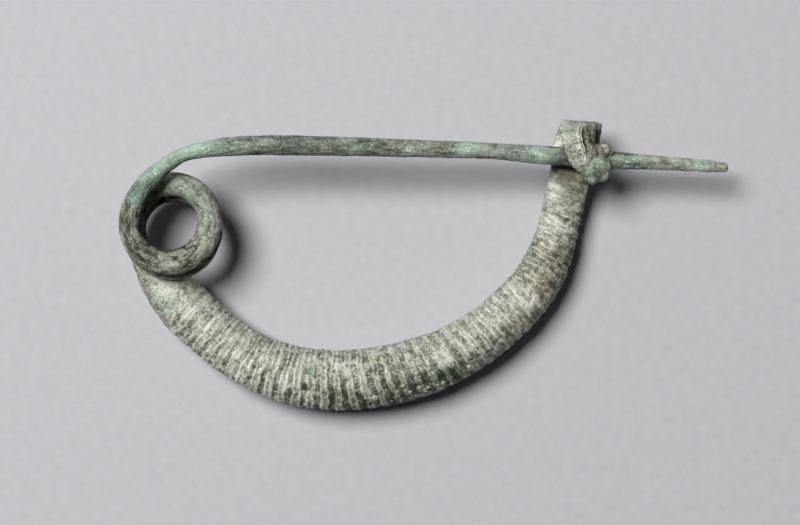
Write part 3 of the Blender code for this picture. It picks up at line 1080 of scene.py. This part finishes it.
def verdigris_crust():
    """The lump on the catch: crumbly mint verdigris, then grey crust, then soil."""
    material, net, shader = new_material("verdigris_crust")
    place = object_place(net)
    mottle = net.noise(place, 0.55, 3.0, 0.6)
    speckle = net.noise(place, 3.6, 3.0, 0.7)
    specks = net.rise(net.noise(place, 3.0, 2.0, 0.6, shift=(20.0, 3.0, 8.0)), 0.62, 0.70)
    wander = (mottle - 0.5) * 1.6
    dusty = net.rise(net.vector("DISTANCE", place, DUSTY_SPOT) + wander, 1.8, 0.9)
    cover = 0.43 + (mottle - 0.5) * 1.4 + (speckle - 0.5) * 1.5
    cover = cover + ridge_pattern(net, place) * 0.25 + specks * 0.30 + dusty * 0.17
    mint = ramp(net, cover, LUMP_TONES)
    grey = ramp(net, cover, CRUST_TONES)
    soil = net.tinted(1.0, grey, SOIL_DYE, "MULTIPLY")
    across = net.part(place, "X")
    grey = net.dyed(net.rise(across + wander, *DARKER_INWARD) * 0.6, grey, SHADE_DYE)
    mint = net.tinted(dusty * 0.5, mint, grey)
    upward = net.part(place, "Y") + wander + net.rise(across, *GREY_MARGIN, 0.0, MARGIN_REACH)
    colour = net.tinted(net.rise(upward, CRUST_FROM - 0.35, CRUST_FROM + 0.35), mint, grey)
    colour = net.tinted(net.rise(upward, SOIL_FROM - 0.2, SOIL_FROM + 0.2), colour, soil)
    dull = 0.72 + (speckle - 0.5) * 0.3
    finish_shader(net, shader, colour, dull, net.noise(place, 2.4, 5.0, 0.7), depth=0.1)
    shader.inputs["Specular IOR Level"].default_value = 0.4
    return material


def pale_crumb():
    """The grains of crust: pale grey-green, each a little different."""
    material, net, shader = new_material("pale_crumb")
    place = object_place(net)
    slow = net.noise(place, 0.5, 2.0)
    fine = net.noise(place, 3.0, 3.0, 0.65)
    cover = 0.5 + (slow - 0.5) * 0.8 + (fine - 0.5) * 0.9
    dull = 0.65 + (fine - 0.5) * 0.3
    finish_shader(net, shader, ramp(net, cover, CRUMB_TONES), dull, fine, depth=0.1, strength=0.8)
    shader.inputs["Specular IOR Level"].default_value = 0.45
    return material


def floor_paper():
    """Pale, dull paper with faint clouds."""
    material, net, shader = new_material("floor_paper")
    cloud = net.noise(net.node("ShaderNodeTexCoord", out="Object"), 600.0, 2.0, 0.6)
    net.fill(shader.inputs["Base Color"], ramp(net, cloud, PAPER_TONES))
    shader.inputs["Roughness"].default_value = 0.9
    shader.inputs["Specular IOR Level"].default_value = 0.2
    return material


# --- Painting ---------------------------------------------------------------------------------


def paint(made, name, spots):
    """Adds to a number at each point: a spot's strength in its middle, less and less around it."""
    mesh = made.data
    places = np.empty(len(mesh.vertices) * 3, np.float32)
    mesh.vertices.foreach_get("co", places)
    places = places.reshape(-1, 3) / MM
    values = np.zeros(len(places), np.float32)
    layer = mesh.attributes.get(name)
    if layer:
        layer.data.foreach_get("value", values)
    else:
        layer = mesh.attributes.new(name, "FLOAT", "POINT")
    for x, y, z, radius, strength in spots:
        far = np.linalg.norm(places - (x, y, z), axis=1) / radius
        values += strength * np.exp(-far * far)
    layer.data.foreach_set("value", values)


# Patches on the bronze: x, y, z, radius, strength.
VERDIGRIS = [
    (-43.75, -5.65, 8.1, 2.4, 0.55),
    (-41.95, -7.25, 8.3, 1.6, 0.30),
    (-38.65, 18.45, 14.5, 2.8, 0.60),
    (-44.85, 14.85, 14.5, 2.5, 0.30),
    (-47.25, 11.15, 14.0, 2.6, 0.50),
    (-18.35, -17.35, 9.9, 1.2, 0.85),
    (-19.25, -21.55, 8.9, 1.9, 0.60),
    (-13.35, -22.05, 7.0, 1.2, 0.4),
    (-3.35, -18.35, 10.0, 1.3, 0.5),
    (2.55, -17.65, 9.5, 1.6, 0.6),
    (4.65, -17.65, 9.0, 1.8, 0.7),
    (6.95, -18.05, 7.0, 1.6, 0.5),
    (-34.35, 19.45, 14.8, 1.6, 0.4),
    (-21.85, 19.75, 14.6, 2.5, 0.35),
    (-11.35, 19.45, 14.3, 2.5, 0.40),
    (6.55, 18.85, 13.0, 2.2, 0.7),
    (17.35, 17.65, 12.5, 3.2, 0.60),
    (-38.05, 13.45, 11.5, 3.0, 0.35),
    (-35.85, 7.95, 11.0, 2.5, 0.15),
    (22.15, 17.15, 12.0, 2.0, 0.1),
    (33.65, 16.95, 11.0, 2.5, 0.5),
    (44.85, 16.85, 10.0, 1.3, 0.5),
    (23.45, 22.25, 13.2, 1.7, 0.40),
]
BROWNNESS = [
    (-28.85, -14.85, 9.6, 1.5, 0.6),
    (-23.35, -16.05, 8.5, 1.0, 0.5),
    (-48.45, 8.85, 14.2, 1.7, 0.9),
    (24.65, 15.15, 6.0, 2.6, 0.9),
    (24.25, 18.25, 13.5, 1.1, 0.8),
    (15.95, -9.45, 8.4, 3.6, 0.55),
    (19.25, -3.55, 8.6, 3.8, 0.55),
    (20.95, 1.45, 8.2, 3.8, 0.55),
]
PALENESS = [
    (-2.65, 18.55, 13.5, 1.3, 0.22),
    (6.55, 19.15, 13.2, 1.6, 0.16),
    (18.65, 18.25, 12.3, 2.0, 0.10),
    (-11.85, 19.25, 14.3, 2.0, 0.07),
    (32.65, 17.35, 11.2, 2.4, 0.13),
    (-44.55, 12.95, 13.8, 1.5, -0.26),
    (-45.95, 10.95, 13.5, 1.2, -0.20),
    (-47.55, 12.85, 14.0, 1.6, -0.15),
    (-41.85, 14.95, 13.8, 1.2, -0.12),
    (27.25, 23.25, 9.5, 1.6, -0.14),
    (-30.45, -18.15, 8.3, 1.6, 0.22),
    (-26.55, -20.45, 8.1, 1.4, 0.22),
    (17.65, -5.95, 8.8, 1.1, 0.30),
    (7.45, -13.75, 9.6, 1.2, 0.22),
    (3.35, -15.75, 9.8, 1.2, 0.25),
    (8.05, -17.05, 7.7, 0.7, 0.35),
    (-43.35, -5.05, 8.1, 2.2, 0.14),
    (-38.55, -7.25, 9.1, 1.5, 0.12),
    (-36.15, -10.65, 9.2, 1.3, 0.15),
    (-22.85, -19.55, 9.8, 1.2, 0.15),
    (-19.25, -21.55, 9.0, 1.5, 0.36),
    (-19.65, -20.05, 10.0, 0.8, -0.40),
    (7.55, -16.95, 8.1, 0.5, 0.40),
    (-4.45, -21.45, 8.7, 0.45, 0.35),
    (21.65, 12.25, 6.1, 1.2, 0.05),
    (25.05, 11.95, 6.3, 1.5, -0.07),
    (44.85, 16.85, 10.0, 1.2, 0.18),
    (35.05, 18.25, 10.6, 0.9, 0.22),
    (37.65, 18.15, 10.3, 1.0, 0.12),
    (40.65, 17.85, 9.9, 0.9, 0.14),
    (0.35, -20.15, 8.5, 0.4, 0.35),
    (4.05, -16.25, 9.6, 0.9, 0.22),
    (17.95, -8.05, 7.0, 1.5, -0.08),
    (20.15, -2.55, 7.8, 1.8, -0.06),
    (21.15, 11.55, 6.2, 0.9, 0.16),
    (21.35, 13.35, 6.1, 0.9, 0.16),
    (23.65, 21.75, 13.4, 1.8, -0.02),
    (24.95, 17.85, 13.6, 1.0, -0.08),
    (22.25, 19.95, 6.5, 1.1, 0.14),
    (-46.15, 1.45, 12.5, 2.5, -0.10),
    (-48.85, 5.95, 13.0, 2.5, -0.16),
    (-36.35, 2.95, 12.0, 2.5, 0.05),
    # These two are painted light: they lift the shadow that the bend's strand casts on the spring's
    # top turn.
    (-41.95, 13.85, 11.0, 1.7, 0.18),
    (-43.65, 12.35, 10.9, 1.1, 0.14),
    (23.2, 21.3, 13.3, 2.0, 0.07),
    (22.0, 20.6, 6.4, 1.1, 0.22),
    (24.6, 15.2, 6.3, 1.9, 0.08),
    (22.0, 18.1, 12.3, 1.3, -0.05),
    (-18.35, -17.55, 9.9, 0.8, -0.07),
    (-19.25, -17.45, 9.9, 0.6, -0.06),
    (4.65, -17.75, 9.0, 1.2, -0.06),
]

# Where grains of crust stand, and how thickly: x, y, z, radius, strength.
CRUSTY = [
    (-4.55, -20.55, 7.0, 2.2, 0.6),
    (0.15, -20.25, 7.0, 2.0, 0.8),
    (3.65, -19.35, 7.0, 1.8, 0.9),
    (8.15, -17.35, 6.5, 1.4, 0.6),
    (13.65, -13.05, 6.5, 3.0, 0.3),
    (-19.25, -21.55, 9.2, 1.2, 3.0),
    (7.55, -16.95, 8.1, 0.40, 5.0),
    (9.75, -15.75, 7.9, 0.30, 5.0),
    (-8.55, -21.35, 9.5, 0.40, 4.5),
    (-5.75, -20.45, 9.6, 0.30, 4.5),
    (-4.45, -21.35, 8.8, 0.40, 4.5),
    (-2.45, -20.85, 8.7, 0.30, 4.5),
    (-0.45, -19.95, 8.9, 0.30, 4.5),
    (0.65, -20.25, 8.3, 0.30, 4.5),
    (-24.35, -21.05, 6.8, 1.6, 1.1),
    (-29.85, -18.65, 7.2, 1.8, 1.3),
    (-34.35, -15.45, 7.4, 1.6, 1.0),
    (-43.85, -6.05, 7.0, 2.5, 0.3),
    (-27.0, -11.6, 6.0, 1.4, 1.6),
    (-24.4, -12.8, 6.2, 1.4, 1.8),
    (-21.0, -13.6, 6.2, 1.4, 1.5),
    (-17.0, -14.1, 6.2, 1.6, 1.6),
    (-12.6, -14.1, 6.2, 1.4, 1.2),
    (-34.0, -7.4, 6.2, 1.4, 1.2),
]


# --- Making the pieces ------------------------------------------------------------------------


def make_brooch():
    """The whole bronze rod, ribbed, worn and painted with its patches."""
    sizes = dict(ROD_SIZES)
    for label, corner in zip(("Lowest corner", "Highest corner"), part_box("fibula")):
        sizes[label] = tuple(value / MM for value in corner)
    kept = ("straight", "facing_out", "rib_number", "flow", "wire", "foot", "tongue")
    kept += RIB_COLUMNS + PATINA_COLUMNS
    brooch = grown("brooch", rail_mesh(Rod()), rod_tree(patinated_bronze()), sizes, kept)
    paint(brooch, "verdigris", VERDIGRIS)
    paint(brooch, "brownness", BROWNNESS)
    paint(brooch, "paleness", PALENESS)
    return brooch


def make_lump():
    """The corrosion that holds the pin fast in the catch."""
    start = bpy.data.meshes.new("knobs")
    start.from_pydata([knob[:3] for knob in KNOBS], [], [])
    radius = start.attributes.new("radius", "FLOAT", "POINT")
    radius.data.foreach_set("value", [knob[3] for knob in KNOBS])
    return grown("catch_corrosion", start, lump_tree(verdigris_crust()), LUMP_SIZES)


def make_crumbs(brooch):
    """The grains of crust on the brooch's skin."""
    paint(brooch, "crusty", CRUSTY)
    start = brooch.data.copy()
    start.materials.clear()
    brooch.data.attributes.remove(brooch.data.attributes["crusty"])
    return grown("crust_crumbs", start, crumb_tree(pale_crumb()), CRUMB_SIZES)


# --- Floor, light and camera ------------------------------------------------------------------

FLOOR_HALF_WIDTH = 1.5  # metres
KEY_DIRECTION = (-0.375, 0.295, 0.87)
KEY_DISTANCE = 1.2  # metres
KEY_SIZE = 0.55  # metres
KEY_WATTS = 19.8
KEY_COLOUR = (1.0, 0.99, 0.97)
SKY_COLOUR = (0.93, 0.96, 1.0, 1.0)
SKY_STRENGTH = 0.035
CAMERA_PLACE = (-4.08, 0.58, 340.0)
FOCAL_LENGTH = 90.5
SENSOR_WIDTH = 36.0
CLIP_START, CLIP_END = 0.01, 10.0  # metres


def make_stage():
    half = FLOOR_HALF_WIDTH
    corners = [(-half, -half, 0), (half, -half, 0), (half, half, 0), (-half, half, 0)]
    mesh = bpy.data.meshes.new("floor")
    mesh.from_pydata(corners, [], [(0, 1, 2, 3)])
    mesh.materials.append(floor_paper())
    floor = bpy.data.objects.new("floor", mesh)
    bpy.context.scene.collection.objects.link(floor)


def make_light():
    """One large round lamp to the upper left, and a faint cool sky."""
    lamp = bpy.data.lights.new("key_light", "AREA")
    lamp.shape = "DISK"
    lamp.size = KEY_SIZE
    lamp.energy = KEY_WATTS
    lamp.color = KEY_COLOUR
    made = bpy.data.objects.new("key_light", lamp)
    bpy.context.scene.collection.objects.link(made)
    direction = Vector(KEY_DIRECTION).normalized()
    made.location = direction * KEY_DISTANCE
    made.rotation_euler = direction.to_track_quat("Z", "Y").to_euler()
    world = bpy.data.worlds.new("studio")
    world.use_nodes = True
    sky = world.node_tree.nodes["Background"]
    sky.inputs["Color"].default_value = SKY_COLOUR
    sky.inputs["Strength"].default_value = SKY_STRENGTH
    bpy.context.scene.world = world


def make_camera():
    """A camera that looks straight down on the brooch."""
    lens = bpy.data.cameras.new("camera")
    lens.sensor_width = SENSOR_WIDTH
    lens.lens = FOCAL_LENGTH
    lens.clip_start, lens.clip_end = CLIP_START, CLIP_END
    camera = bpy.data.objects.new("camera", lens)
    camera.location = tuple(value * MM for value in CAMERA_PLACE)
    bpy.context.scene.collection.objects.link(camera)
    bpy.context.scene.camera = camera
    bpy.context.scene.view_settings.view_transform = "Standard"


make_light()
make_camera()
make_stage()
brooch = make_brooch()
for piece in (brooch, make_lump(), make_crumbs(brooch)):
    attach(piece, "root")
    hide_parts("fibula")
